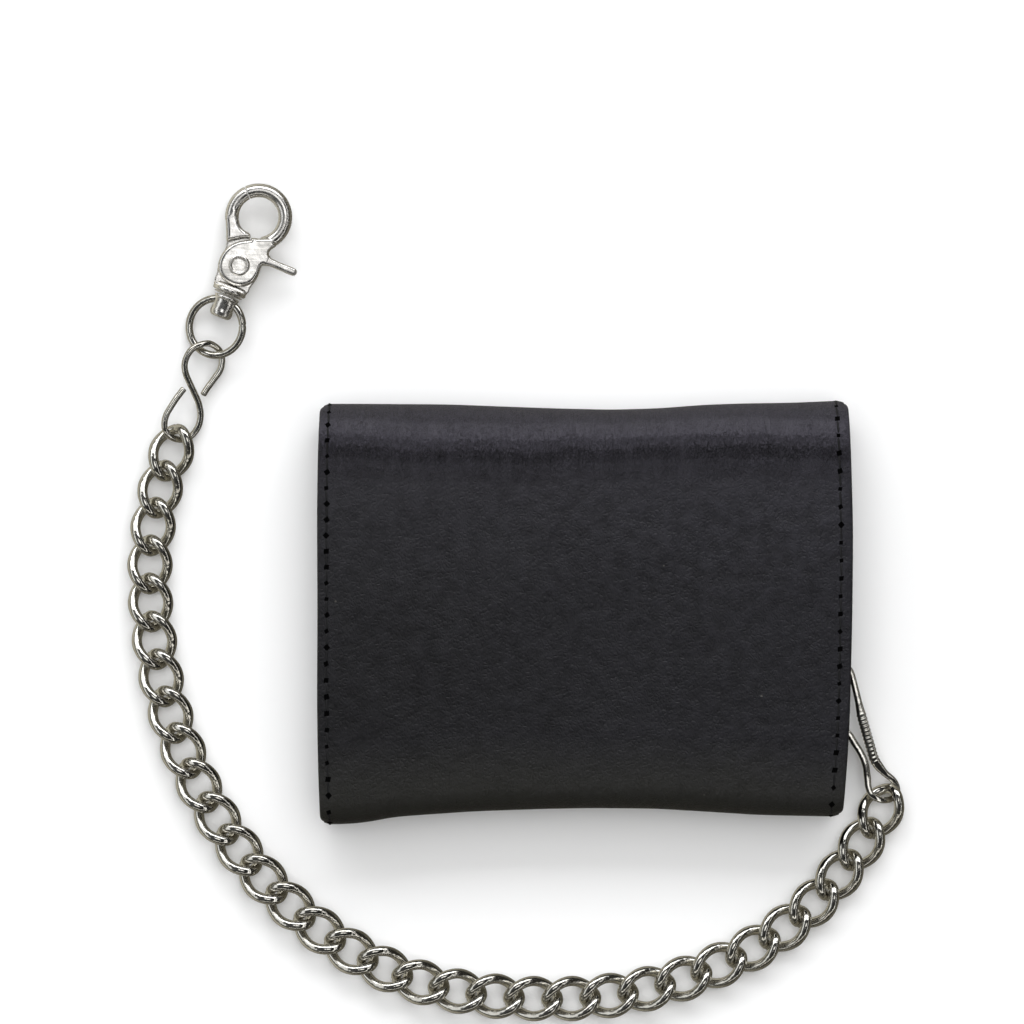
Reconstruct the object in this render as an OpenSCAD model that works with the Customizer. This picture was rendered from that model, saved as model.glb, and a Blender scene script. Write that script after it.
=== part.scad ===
// Leather trifold wallet with a curb chain and a scissor trigger snap, lying closed on a table.
// Millimetres, +Z up. The origin is on the table, under the middle of the closed wallet.

/* [Wallet] */
// Length of the closed wallet, between its stitched sides
wallet_w = 108; // [100:1:116]
// Depth of the closed wallet, from fold to fold
wallet_d = 84.8; // [82:0.2:90]
// Thickness of the outer leather
leather_t = 1.2; // [1:0.1:1.4]
// Thickness of the lining
lining_t = 0.8; // [0.6:0.1:1]
// Space for banknotes between leather and lining
bill_gap = 1.0; // [0.8:0.1:1.2]
// Thickness of one card pocket layer
card_t = 0.7; // [0.5:0.1:0.8]
// Air between two folded panels
panel_gap = 0.3; // [0.2:0.1:0.5]
// Corner radius of the panels
corner_r = 3; // [1:0.5:5]
// Distance of the left seam from the edge
seam_left = 1.9; // [1.5:0.1:3]
// Distance of the right seam from the edge
seam_right = 2.4; // [1.5:0.1:3]
// Length of one stitch with its gap
stitch_pitch = 3.4; // [2.5:0.1:5]

/* [Chain] */
// Overall length of one link
link_len = 12.3; // [12.2:0.1:12.5]
// Overall width of one link
link_w = 9.3; // [9.1:0.1:9.8]
// Wire diameter of the links
link_wire = 2.1; // [1.9:0.05:2.15]
// Twist of each end of a link out of its plane
link_twist = 45; // [42:1:48]
// Distance between the middles of neighbouring links
link_pitch = 7.77; // [7.65:0.01:7.85]
// Height of the chain's middle above the table
chain_z = 2.4; // [2.4:0.1:3]

/* [End fittings] */
// Outer diameter of the jump ring
ring_d = 13.1; // [12.9:0.1:13.2]
// Wire diameter of the jump ring
ring_wire = 1.5; // [1.2:0.1:1.6]
// Wire diameter of the S-shaped link
s_wire = 1.3; // [1:0.1:1.4]
// Wire diameter of the link that hangs in the wallet's tab
tab_wire = 1.4; // [1.2:0.1:1.5]
// Width of the leather tab along the wallet's edge
tab_w = 10.2; // [9:0.1:10.4]

/* [Clip] */
// Outer diameter of the clip's hook
hook_d = 13.7; // [13:0.1:14.5]
// Thickness of the hook's jaws
jaw_d = 2.8; // [2.4:0.1:3]
// Radius of the disc round the rivet
disc_r = 4.2; // [4:0.1:4.4]
// Height of the clip's axis above the table
clip_z = 3.5; // [3.5:0.1:4]

/* [Hidden] */

black = [0.17, 0.17, 0.18];
dark = [0.09, 0.09, 0.1];
steel = [0.78, 0.77, 0.74];
clear_film = [0.8, 0.85, 0.88, 0.4];

// heights of the layers, from the table up
card_stack = 3 * card_t;
panel_t = leather_t + bill_gap + lining_t + card_stack;
front_z = 0;
inner_z = panel_t + panel_gap;
window_t = 1.0;
window_z = inner_z + panel_t + panel_gap;
centre_lining_z = window_z + window_t;
centre_leather_z = centre_lining_z + lining_t + bill_gap;
wallet_t = centre_leather_z + leather_t;

// the two folds are half rings about lines parallel to X
outer_fold_r = wallet_t / 2;
outer_fold_y = wallet_d / 2 - outer_fold_r;
inner_fold_r = (wallet_t - inner_z) / 2;
inner_fold_y = -wallet_d / 2 + inner_fold_r;
inner_fold_z = wallet_t - inner_fold_r;
front_edge_y = -wallet_d / 2 + 1;
inner_edge_y = outer_fold_y - 1.4;
lining_inset = 0.6;
pocket_inset = 7;

groove_w = 0.9;
groove_depth = 0.5;
thread_w = 0.5;
thread_t = 0.35;
thread_len = 2.4;

// the tab and the bar of the link that it holds
tab_y = -17.7;
tab_leather = 0.8;
tab_eye_r = tab_wire / 2 + 0.1;
tab_outer_r = tab_eye_r + tab_leather;
tab_x = wallet_w / 2 - 0.6 - tab_outer_r;
tab_z = leather_t + tab_outer_r;
tab_root = 8;
tab_notch = 3.2;

// the chain's route: the first link, then the turn from each link to the next
chain_start = [60.5, -41];
chain_heading = -118.4;
link_turns = [-4.3, -5.5, -7.4, -8.1, -7.2, -5.7, -5.2, -5.4, -5.7, -5.2, -3.9, -3.4, -4.7, -6.8,
    -7.4, -6.6, -5.9, -5.6, -5.3, -5.1, -5.1, -5.1, -5.2, -5.2, -4.5, -4.1, -4.5, -5.3, -6, -6.1, -5.9];
link_count = len(link_turns) + 1;
link_rings = 28;
wire_sides = 8;

function heading(i) = i == 0 ? chain_heading : heading(i - 1) + link_turns[i - 1];
function along(a) = [cos(a), sin(a)];
function link_at(i) = i == 0 ? chain_start
    : link_at(i - 1) + link_pitch / 2 * (along(heading(i - 1)) + along(heading(i)));
function link_name(i) = str("link_", i < 9 ? "0" : "", i + 1);

// one link's centre line: an oval whose ends are twisted about its length
function link_point(t) =
    let (a = (link_len - link_wire) / 2, b = (link_w - link_wire) / 2)
    let (x = a * cos(t), y = b * sin(t), roll = -link_twist * x / a)
    [x, y * cos(roll), y * sin(roll)];
link_line = [for (k = [0 : link_rings - 1]) link_point(360 * k / link_rings)];

// a smooth line through a few points
function spline_point(p, q, r, s, t) =
    0.5 * (2 * q + (r - p) * t + (2 * p - 5 * q + 4 * r - s) * t * t
    + (3 * q - p - 3 * r + s) * t * t * t);
function smooth_loop(pts, steps) =
    let (n = len(pts))
    [for (i = [0 : n - 1]) for (k = [0 : steps - 1])
        spline_point(pts[(i + n - 1) % n], pts[i], pts[(i + 1) % n], pts[(i + 2) % n], k / steps)];
function smooth_line(pts, steps) =
    let (n = len(pts))
    concat([for (i = [0 : n - 2]) for (k = [0 : steps - 1])
        spline_point(pts[max(i - 1, 0)], pts[i], pts[i + 1], pts[min(i + 2, n - 1)], k / steps)],
        [pts[n - 1]]);

function unit(v) = v / norm(v);
function ring_of_wire(p, tangent, r, sides) =
    let (side = unit(cross([0, 0, 1], tangent)), up = cross(tangent, side))
    [for (k = [0 : sides - 1]) p + r * (cos(360 * k / sides) * side + sin(360 * k / sides) * up)];

// wire along a line of points, either a closed loop or with flat ends
module wire(pts, d, closed, sides = wire_sides) {
    n = len(pts);
    last = closed ? n - 1 : n - 2;
    rings = [for (i = [0 : n - 1])
        let (before = closed ? pts[(i + n - 1) % n] : pts[max(i - 1, 0)])
        let (after = closed ? pts[(i + 1) % n] : pts[min(i + 1, n - 1)])
        ring_of_wire(pts[i], unit(after - before), d / 2, sides)];
    skin = [for (i = [0 : last]) for (k = [0 : sides - 1])
        let (a = i * sides, b = ((i + 1) % n) * sides, m = (k + 1) % sides)
        each [[a + k, b + k, a + m], [a + m, b + k, b + m]]];
    start_cap = closed ? [] : [[for (k = [0 : sides - 1]) k]];
    end_cap = closed ? [] : [[for (k = [sides - 1 : -1 : 0]) (n - 1) * sides + k]];
    polyhedron([for (ring = rings) each ring], concat(skin, start_cap, end_cap), convexity = 6);
}

// the S-shaped link: from the free end of its front loop, over the middle, to the other free end
s_path = [[-77.8, 43.95, 1.85], [-76.85, 45.45, 1.6], [-75.65, 47.1, 1.4], [-74.4, 48.9, 1.25],
    [-73.95, 50.55, 1.2], [-74, 51.95, 1.25], [-74.7, 53.4, 1.6], [-76.4, 54.45, 2.6],
    [-78.25, 54.2, 3.6], [-79.9, 53.3, 4], [-81, 51.75, 4.05], [-81.45, 49.95, 3.85],
    [-81.15, 48.1, 3.5], [-80.3, 46.1, 3], [-79.45, 44.25, 2.55], [-78.75, 42.55, 2.1],
    [-78.35, 40.8, 1.7], [-78.35, 39.2, 1.35], [-78.8, 37.55, 1.05], [-79.9, 35.95, 0.9],
    [-81.3, 35, 1.1], [-82.8, 34.9, 1.8], [-84.25, 35.4, 2.8], [-85.25, 36.55, 3.6],
    [-85.55, 38.15, 4], [-85.15, 39.9, 4.1], [-84.25, 41.5, 4], [-83.25, 43.05, 3.8],
    [-82.3, 44.35, 3.6], [-81.55, 45.3, 3.5]];

// the link in the tab: its bar, down the outside, round the chain's first link and back up
tab_link_path = [[tab_x, tab_y, tab_z], [tab_x, tab_y + 4.6, tab_z], [tab_x, tab_y + 5.5, tab_z],
    [tab_x + 0.6, tab_y + 6.4, tab_z], [54.2, -12.2, tab_z], [55.35, -16, 2.9], [56.5, -21, 3],
    [57.4, -24.3, 3], [58.3, -27.4, 2.9], [59.35, -30.6, 2.6], [61.3, -33.1, 1.7], [63.2, -34.75, 0.95],
    [63.95, -36.6, 0.75], [63, -38.3, 1.45], [60.95, -38.65, 2.95], [58.9, -37.85, 3.9],
    [58, -36.2, 3.9], [57.75, -33.9, 3.6], [57.4, -31.4, 3.1], [56.5, -29.2, 2.9], [55.2, -27.1, 2.8],
    [54, -25.2, 2.8], [tab_x + 0.5, tab_y - 6.4, tab_z], [tab_x, tab_y - 5.5, tab_z],
    [tab_x, tab_y - 4.6, tab_z]];

// the clip stands on its rivet, with its hook ahead along its own Y
clip_at = [-70.3, 70.4, clip_z];
clip_turn = -21;
hook_y = 10.6;
hook_r = (hook_d - jaw_d) / 2;
jaw_meet = 136;
jaw_gap = 1.5;
moving_foot = -62;
fixed_foot = 246;
disc_t = 1.6;
disc_gap = 0.1;
rivet_r = 1.1;
rivet_head_r = 1.95;
rivet_head_t = 0.5;
spring_r = 1.75;
spring_wire = 0.4;
spring_turns = 1.5;
spring_room = 2.3;
collar_r = 3.45;
collar_top = -4.4;
collar_bottom = -5.4;
swivel_head_y = -4.9;
washer_top = -5.5;
washer_bottom = -6.1;
eye_top = -6.2;
eye_bottom = -11.4;
eye_r = 2.4;
eye_hole_y = -8;
eye_hole_r = 1.15;
eye_mouth_r = 1.75;
post_r = 1;
post_head_r = 1.6;

// the jump ring hangs in the clip's eye and slopes down to the S-shaped link
ring_y = -13.45;
ring_r = (ring_d - ring_wire) / 2;
ring_roll = -17;
ring_dip = 6;

// a panel with round corners, lying flat between two Y values
module panel(y0, y1, z, t, inset = 0, r = corner_r) {
    w = wallet_w - 2 * inset;
    translate([-w / 2, y0, z])
    linear_extrude(t)
    union() {
        translate([r, 0]) square([w - 2 * r, y1 - y0]);
        translate([0, r]) square([w, y1 - y0 - 2 * r]);
        for (x = [r, w - r]) for (y = [r, y1 - y0 - r])
            translate([x, y]) circle(r, $fn = 32);
    }
}

// a panel whose end at the fold is square, so that it meets the fold all along
module fold_panel(free_y, fold_y, z, t, inset = 0) {
    w = wallet_w - 2 * inset;
    toward = fold_y > free_y ? 1 : -1;
    mid_y = fold_y - toward * 2 * corner_r;
    union() {
        panel(min(free_y, mid_y), max(free_y, mid_y), z, t, inset);
        translate([-w / 2, min(fold_y, mid_y - toward * 2 * corner_r), z])
            cube([w, 4 * corner_r, t]);
    }
}

// where the two seams run, as X values
seams = [-wallet_w / 2 + seam_left, wallet_w / 2 - seam_right];

module seam_grooves(y0, y1, z) {
    for (x = seams)
        translate([x - groove_w / 2, y0, z]) cube([groove_w, y1 - y0, groove_depth]);
}

// thread of both seams: a row of separate flat stitches
module stitches(y0, y1, z) {
    count = floor((y1 - y0) / stitch_pitch);
    first = (y0 + y1) / 2 - (count - 1) * stitch_pitch / 2;
    for (x = seams) for (k = [0 : count - 1])
        translate([x - thread_w / 2, first + k * stitch_pitch - thread_len / 2, z])
            cube([thread_w, thread_len, thread_t]);
}

// half ring of leather or lining round a fold
module fold_ring(y, z, r, t, inset, side) {
    translate([-wallet_w / 2 + inset, y, z])
    rotate([90, 0, 90])
    linear_extrude(wallet_w - 2 * inset)
    difference() {
        circle(r, $fn = 64);
        circle(r - t, $fn = 64);
        translate([side > 0 ? -2 * r : 0, -2 * r]) square([2 * r, 4 * r]);
    }
}

module front_flap_leather() {
    color(black)
    difference() {
        fold_panel(front_edge_y, outer_fold_y, front_z, leather_t);
        translate([0, 0, -1])
            seam_grooves(front_edge_y + 2, outer_fold_y, front_z + 1 - 0.01);
        seam_grooves(front_edge_y + 2, outer_fold_y, front_z - 0.01);
    }
}

module front_flap_lining() {
    z = front_z + leather_t + bill_gap;
    notch = [tab_root + 4, tab_w + 2 * tab_notch, 3];
    color(dark)
    difference() {
        union() {
            fold_panel(front_edge_y, outer_fold_y, z, lining_t, lining_inset);
            translate([wallet_w / 2 - 5, front_edge_y + 4, front_z + leather_t])
                cube([4, outer_fold_y - front_edge_y - 8, bill_gap]);
        }
        translate([wallet_w / 2 - notch[0] + 1, tab_y - notch[1] / 2, front_z + leather_t - 0.5])
            cube(notch);
    }
}

// three stepped pocket layers, open toward the fold; step is the way the layers get shorter
module card_pockets(free_y, fold_y, z) {
    toward = fold_y > free_y ? 1 : -1;
    for (k = [0 : 2]) {
        open_y = fold_y - toward * (8 + 12 * k);
        panel(min(free_y, open_y), max(free_y, open_y), z + k * card_t, card_t - 0.06, pocket_inset, 1);
    }
}

module front_card_pockets() {
    color(black)
        card_pockets(front_edge_y + 2, outer_fold_y, front_z + panel_t - card_stack);
}

module front_flap_stitching() {
    color(dark)
        stitches(front_edge_y + 3, outer_fold_y, front_z + groove_depth - 0.01 - thread_t);
}

module centre_panel_leather() {
    color(black)
    difference() {
        translate([-wallet_w / 2, inner_fold_y, centre_leather_z])
            cube([wallet_w, outer_fold_y - inner_fold_y, leather_t]);
        seam_grooves(inner_fold_y - 1, outer_fold_y + 1, wallet_t - groove_depth);
    }
}

module centre_panel_stitching() {
    color(dark)
        stitches(inner_fold_y, outer_fold_y, wallet_t - groove_depth);
}

module centre_panel_lining() {
    color(dark)
    union() {
        translate([-wallet_w / 2 + lining_inset, inner_fold_y, centre_lining_z])
            cube([wallet_w - 2 * lining_inset, outer_fold_y - inner_fold_y, lining_t]);
        translate([wallet_w / 2 - 5, inner_fold_y + 4, centre_lining_z + lining_t])
            cube([4, outer_fold_y - inner_fold_y - 8, bill_gap]);
    }
}

// the window's frame is cut out for a card, with a step that holds the film
window_size = [80, 48];
frame_size = [94, 60];
film_size = [84, 52];
film_t = 0.3;
frame_lip = 0.65;

module id_window_frame() {
    color(black)
    translate([0, (inner_fold_y + outer_fold_y) / 2, window_z])
    difference() {
        translate([-frame_size[0] / 2, -frame_size[1] / 2, 0]) cube([frame_size[0], frame_size[1], window_t]);
        translate([-window_size[0] / 2, -window_size[1] / 2, -1])
            cube([window_size[0], window_size[1], window_t + 2]);
        translate([-film_size[0] / 2, -film_size[1] / 2, frame_lip])
            cube([film_size[0], film_size[1], window_t]);
    }
}

module id_window_film() {
    color(clear_film)
    translate([-film_size[0] / 2 + 0.1, (inner_fold_y + outer_fold_y) / 2 - film_size[1] / 2 + 0.1,
        window_z + frame_lip])
        cube([film_size[0] - 0.2, film_size[1] - 0.2, film_t]);
}

module inner_flap_leather() {
    color(black)
    difference() {
        fold_panel(inner_edge_y, inner_fold_y, inner_z, leather_t);
        seam_grooves(inner_fold_y - 1, inner_edge_y - 2, inner_z - 0.01);
    }
}

module inner_flap_lining() {
    z = inner_z + leather_t + bill_gap;
    color(dark)
    union() {
        fold_panel(inner_edge_y, inner_fold_y, z, lining_t, lining_inset);
        translate([wallet_w / 2 - 5, inner_fold_y + 4, inner_z + leather_t])
            cube([4, inner_edge_y - inner_fold_y - 8, bill_gap]);
    }
}

module inner_card_pockets() {
    color(black)
        card_pockets(inner_edge_y - 2, inner_fold_y, inner_z + panel_t - card_stack);
}

module inner_flap_stitching() {
    color(dark)
        stitches(inner_fold_y, inner_edge_y - 3, inner_z + groove_depth - 0.01 - thread_t);
}

module outer_spine_leather() {
    color(black)
        fold_ring(outer_fold_y, outer_fold_r, outer_fold_r, leather_t, 0, 1);
}

module outer_spine_lining() {
    color(dark)
        fold_ring(outer_fold_y, outer_fold_r, outer_fold_r - leather_t - bill_gap, lining_t, lining_inset, 1);
}

module inner_spine_leather() {
    color(black)
        fold_ring(inner_fold_y, inner_fold_z, inner_fold_r, leather_t, 0, -1);
}

module inner_spine_lining() {
    color(dark)
        fold_ring(inner_fold_y, inner_fold_z, inner_fold_r - leather_t - bill_gap, lining_t, lining_inset, -1);
}

// a strap folded round the link's bar and sewn between the front flap's leather and its lining
module chain_tab() {
    strap_t = bill_gap + lining_t;
    color(black)
    translate([tab_x, tab_y + tab_w / 2, tab_z])
    rotate([90, 0, 0])
    linear_extrude(tab_w)
    difference() {
        union() {
            circle(tab_outer_r, $fn = 48);
            translate([-tab_root, -tab_outer_r]) square([tab_root, strap_t]);
        }
        circle(tab_eye_r, $fn = 48);
    }
}

module tab_stitching() {
    bar_x = tab_x - 4.1;
    top = tab_z - tab_outer_r + bill_gap + lining_t;
    color(dark)
    for (k = [-1 : 1])
        translate([bar_x - thread_w / 2, tab_y + 3 * k - 1, top])
            cube([thread_w, 2, thread_t / 2]);
}

module tab_link() {
    color(steel) wire(smooth_loop(tab_link_path, 2), tab_wire, true);
}

module chain_link(i) {
    color(steel)
    translate([link_at(i)[0], link_at(i)[1], chain_z])
    rotate(heading(i))
        wire(link_line, link_wire, true);
}

module s_link() {
    color(steel) wire(smooth_line(s_path, 2), s_wire, false);
}

// puts its children into the clip's own frame
module in_clip() {
    translate(clip_at) rotate(clip_turn) children();
}

module jump_ring() {
    color(steel)
    in_clip()
    translate([0, eye_hole_y, 0])
    rotate([ring_dip, 0, 0])
    translate([0, ring_y - eye_hole_y, 0])
    rotate([0, ring_roll, 0])
    rotate_extrude($fn = 72) translate([ring_r, 0]) circle(ring_wire / 2, $fn = 32);
}

// a round piece along the clip's Y, from one Y value up to another
module turned(y0, y1, r) {
    translate([0, y1, 0]) rotate([90, 0, 0]) cylinder(h = y1 - y0, r = r, $fn = 64);
}

module clip_eye() {
    color(steel)
    in_clip()
    difference() {
        union() {
            turned(eye_bottom, eye_top, eye_r);
            turned(eye_top - 0.5, swivel_head_y - 0.4, post_r);
            turned(swivel_head_y - 0.4, swivel_head_y + 0.2, post_head_r);
        }
        translate([-eye_r - 1, eye_hole_y, 0])
        rotate([0, 90, 0])
            cylinder(h = 2 * eye_r + 2, r = eye_hole_r, $fn = 48);
        for (side = [-1, 1])
            translate([side * 0.3, eye_hole_y, 0])
            rotate([0, 90 * side, 0])
                cylinder(h = eye_r, r1 = eye_hole_r, r2 = eye_mouth_r, $fn = 48);
    }
}

module clip_washer() {
    color(steel)
    in_clip()
    difference() {
        turned(washer_bottom, washer_top, collar_r - 0.3);
        turned(washer_bottom - 1, washer_top + 1, post_r + 0.08);
    }
}

// an arc of the hook, from one angle to another about the hook's middle
module hook_arc(from, to) {
    translate([0, hook_y, 0])
    rotate(from)
    rotate_extrude(angle = to - from, $fn = 96)
    translate([hook_r, 0]) circle(jaw_d / 2, $fn = 40);
}

spring_line = [for (k = [0 : 24])
    let (a = 360 * spring_turns * k / 24)
    [spring_r * cos(a), spring_r * sin(a), (k / 24 - 0.5) * 0.7]];

// the fixed half: base disc with a pocket for the spring, left jaw and swivel collar
module clip_body() {
    foot = [[-3.9, 6.4], [-3.6, 2], [2.5, 2], [1.2, 4.2], [-0.4, 5.2], [-0.9, 6.4]];
    color(steel)
    in_clip()
    difference() {
        union() {
            hook_arc(jaw_meet + jaw_gap, fixed_foot);
            translate([0, 0, -disc_gap / 2 - disc_t]) cylinder(h = disc_t, r = disc_r + 0.1, $fn = 72);
            translate([0, 0, -disc_gap / 2 - disc_t]) linear_extrude(disc_t) polygon(foot);
            translate([-2.6, collar_top - 0.5, -disc_gap / 2 - disc_t]) cube([5.2, 3, disc_t]);
            turned(collar_bottom, collar_top, collar_r);
        }
        translate([0, 0, -3]) cylinder(h = 6, r = rivet_r + 0.05, $fn = 48);
        translate([0, 0, -disc_gap / 2 - 0.5]) cylinder(h = 3, r = spring_room, $fn = 48);
        translate([0, 0, -disc_gap / 2]) cylinder(h = 3, r = disc_r + 0.3, $fn = 72);
        turned(collar_bottom - 1, collar_top + 1, post_r + 0.08);
        turned(swivel_head_y - 0.45, collar_top + 1.5, post_head_r + 0.12);
    }
}

// the moving half: disc on the rivet, right jaw and thumb lever
module clip_jaw() {
    neck = [[-0.6, 3.2], [0.2, 4.4], [1.5, 5.6], [3.2, 6.6], [4.6, 5], [3.9, 3.6], [3.6, 1.8]];
    lever = [[3.2, 1.6], [3.4, 3.6], [5.6, 3.5], [11, 3.4], [11.4, 3.1], [11.4, 2.2], [11, 1.9],
        [5.5, 2], [4.4, 1.6]];
    color(steel)
    in_clip()
    difference() {
        union() {
            hook_arc(moving_foot, jaw_meet - jaw_gap);
            translate([0, 0, disc_gap / 2]) cylinder(h = disc_t, r = disc_r, $fn = 72);
            translate([0, 0, disc_gap / 2]) linear_extrude(disc_t - 0.2) polygon(neck);
            translate([0, 0, disc_gap / 2]) linear_extrude(disc_t - 0.1) polygon(lever);
        }
        translate([0, 0, -3]) cylinder(h = 6, r = rivet_r + 0.05, $fn = 48);
        translate([0, 0, disc_gap / 2 - 2.5]) cylinder(h = 3, r = spring_room, $fn = 48);
    }
}

module clip_rivet() {
    half = disc_gap / 2 + disc_t;
    color(steel)
    in_clip()
    difference() {
        union() {
            translate([0, 0, -half - rivet_head_t]) cylinder(h = 2 * (half + rivet_head_t), r = rivet_r, $fn = 48);
            for (z = [-half - rivet_head_t, half])
                translate([0, 0, z]) cylinder(h = rivet_head_t, r = rivet_head_r, $fn = 48);
        }
        translate([0, 0, half - 0.3]) cylinder(h = 2, r = 0.8, $fn = 32);
    }
}

module clip_spring() {
    color(steel)
    in_clip()
        wire(spring_line, spring_wire, false, 6);
}

front_flap_leather();
front_flap_lining();
front_card_pockets();
front_flap_stitching();
centre_panel_leather();
centre_panel_lining();
id_window_frame();
id_window_film();
centre_panel_stitching();
inner_flap_leather();
inner_flap_lining();
inner_card_pockets();
inner_flap_stitching();
outer_spine_leather();
outer_spine_lining();
inner_spine_leather();
inner_spine_lining();
chain_tab();
tab_stitching();
tab_link();
for (i = [0 : link_count - 1])
    chain_link(i);
s_link();
jump_ring();
clip_eye();
clip_washer();
clip_body();
clip_jaw();
clip_rivet();
clip_spring();
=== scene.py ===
"""Chain wallet: a closed trifold wallet with a curb chain, an S-shaped link, a jump ring and a trigger snap."""
from math import atan2, copysign, cos, dist, exp, hypot, pi, radians, sin, sqrt

import bmesh
import bpy
import numpy as np
from mathutils import Matrix, Vector


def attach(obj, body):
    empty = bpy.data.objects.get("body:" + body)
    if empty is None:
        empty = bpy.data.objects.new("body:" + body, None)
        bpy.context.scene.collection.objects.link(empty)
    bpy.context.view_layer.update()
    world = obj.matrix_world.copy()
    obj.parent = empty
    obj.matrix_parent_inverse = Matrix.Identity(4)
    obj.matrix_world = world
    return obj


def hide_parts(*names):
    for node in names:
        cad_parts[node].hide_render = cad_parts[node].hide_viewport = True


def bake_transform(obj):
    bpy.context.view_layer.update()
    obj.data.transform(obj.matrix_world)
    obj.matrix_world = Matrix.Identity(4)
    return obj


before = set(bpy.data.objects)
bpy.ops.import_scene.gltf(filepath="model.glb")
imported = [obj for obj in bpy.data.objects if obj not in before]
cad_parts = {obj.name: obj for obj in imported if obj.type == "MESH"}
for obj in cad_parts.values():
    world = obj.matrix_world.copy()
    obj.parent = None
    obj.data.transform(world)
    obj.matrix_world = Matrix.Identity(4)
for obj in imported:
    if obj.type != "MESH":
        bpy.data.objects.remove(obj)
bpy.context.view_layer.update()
MM = 0.001

# ---- sizes, in millimetres
HALF_W, HALF_D, THICK = 54.0, 42.4, 14.8
LEATHER, LINING, GAP, CARD = 1.2, 0.8, 1.0, 0.7
OUTER_R, INNER_R = 7.4, 4.7
OUTER_Y, INNER_Y = HALF_D - OUTER_R, -HALF_D + INNER_R
INNER_Z = 10.1
INNER_FLAP_Z = INNER_Z - INNER_R
SEAMS = (-52.1, 51.6)
STITCH_PITCHES = (3.27, 3.62)
TAB_X, TAB_Y, TAB_Z = 51.8, -17.7, 2.8
POCKET_HALF_W, POCKET_MOUTH, POCKET_STEP = 47, 8, 12
FRAME_HALF_D, OPENING_HALF_W, OPENING_HALF_D, FILM_HALF_W, FILM_HALF_D = 30, 40, 24, 46, 29


# ---- small helpers
def smooth(lo, hi, v):
    t = np.clip((np.asarray(v, float) - lo) / (hi - lo), 0, 1)
    return t * t * (3 - 2 * t)


def soft_curve(xs, ys, width):
    """A smooth function through a few given points."""
    grid = np.linspace(xs[0] - 20, xs[-1] + 20, 800)
    line = np.interp(grid, xs, ys)
    step = grid[1] - grid[0]
    k = np.arange(-60, 61) * step
    kernel = np.exp(-0.5 * (k / width) ** 2)
    kernel /= kernel.sum()
    padded = np.pad(line, 60, mode="edge")
    line = np.convolve(padded, kernel, mode="valid")
    return lambda v: np.interp(v, grid, line)


def waves(x, y, seed, length, octaves=3):
    """Smooth random undulation, about -1 to 1, from a fixed seed."""
    rng = np.random.default_rng(seed)
    total = np.zeros_like(np.asarray(x, float))
    weight = 0
    for o in range(octaves):
        for _ in range(4):
            a = rng.uniform(0, 2 * pi)
            f = 2 * pi / (length / (1.7 ** o) * rng.uniform(0.8, 1.3))
            p = rng.uniform(0, 2 * pi)
            total += np.sin(f * (x * cos(a) + y * sin(a)) + p) / (1.8 ** o)
            weight += 1 / (1.8 ** o)
    return total / sqrt(weight)


top_edge = soft_curve([-54, -46, -28, -7, 5.6, 15.7, 24, 33, 42, 54],
                      [42.1, 42.1, 42.0, 41.2, 40.9, 41.2, 41.9, 42.2, 42.3, 42.8], 2.2)
bottom_edge = soft_curve([-54, -50, -45, -42, -39, -23, -9, 1, 14, 26, 36, 51, 54],
                         [-43.3, -43.3, -43.0, -42.4, -41.8, -40.7, -40.2, -40.0, -40.1, -40.8, -41.4, -41.7, -41.7],
                        1.8)
left_edge = soft_curve([-42, -34, -20, 0, 20, 34, 42], [-53.5, -53.9, -54.2, -54.1, -54.2, -54.0, -53.6], 4)
right_edge = soft_curve([-42, -36, -23, -2, 16, 34, 42], [52.2, 52.9, 53.7, 54.2, 54.4, 53.9, 53.4], 4)
CORNER = 1.9


def warp(p):
    """The well-used wallet's outline: waisted folds, slightly bowed edges, round corners and a soft crown."""
    p = np.array(p, float)
    x, y, z = p[:, 0].copy(), p[:, 1].copy(), p[:, 2].copy()
    dx = (np.abs(x) - (HALF_W - CORNER)) / CORNER
    dy = (np.abs(y) - (HALF_D - CORNER)) / CORNER
    corner = (dx > 0) & (dy > 0)
    m = np.maximum(dx, dy)
    h = np.hypot(dx, dy) + 1e-9
    x = np.where(corner, np.sign(x) * (HALF_W - CORNER + CORNER * dx * m / h), x)
    y = np.where(corner, np.sign(y) * (HALF_D - CORNER + CORNER * dy * m / h), y)
    x0, y0 = x.copy(), y.copy()
    y = y + (top_edge(x0) - HALF_D) * smooth(0, 37, y0) + (bottom_edge(x0) + HALF_D) * smooth(0, 38, -y0)
    x = x + (right_edge(y0) - HALF_W) * smooth(20, 52, x0) + (left_edge(y0) + HALF_W) * smooth(20, 52, -x0)
    level = np.clip(z / THICK, 0, 1)
    crown = 0.45 * (1 - (x0 / HALF_W) ** 4) * (1 - np.clip(np.abs(y0) / HALF_D, 0, 1) ** 3)
    puff = 0.16 * waves(x0, y0, 5, 46, 3) * (1 - np.clip(np.abs(x0) / HALF_W, 0, 1) ** 6)
    z = z + level ** 2 * (crown + puff)
    return np.stack([x, y, z], 1)


def new_object(name, data):
    obj = bpy.data.objects.new(name, data)
    bpy.context.scene.collection.objects.link(obj)
    return obj


def make(name, verts, faces, material, uv=None):
    """A mesh object from points in millimetres."""
    mesh = bpy.data.meshes.new(name)
    mesh.from_pydata((np.asarray(verts, float) * MM).tolist(), [], [list(map(int, f)) for f in faces])
    if uv is not None:
        layer = mesh.uv_layers.new(name="UVMap")
        index = np.zeros(len(mesh.loops), np.int32)
        mesh.loops.foreach_get("vertex_index", index)
        layer.data.foreach_set("uv", np.asarray(uv, np.float32)[index].ravel())
    mesh.polygons.foreach_set("use_smooth", [True] * len(mesh.polygons))
    mesh.materials.append(material)
    mesh.update()
    return new_object(name, mesh)


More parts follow.
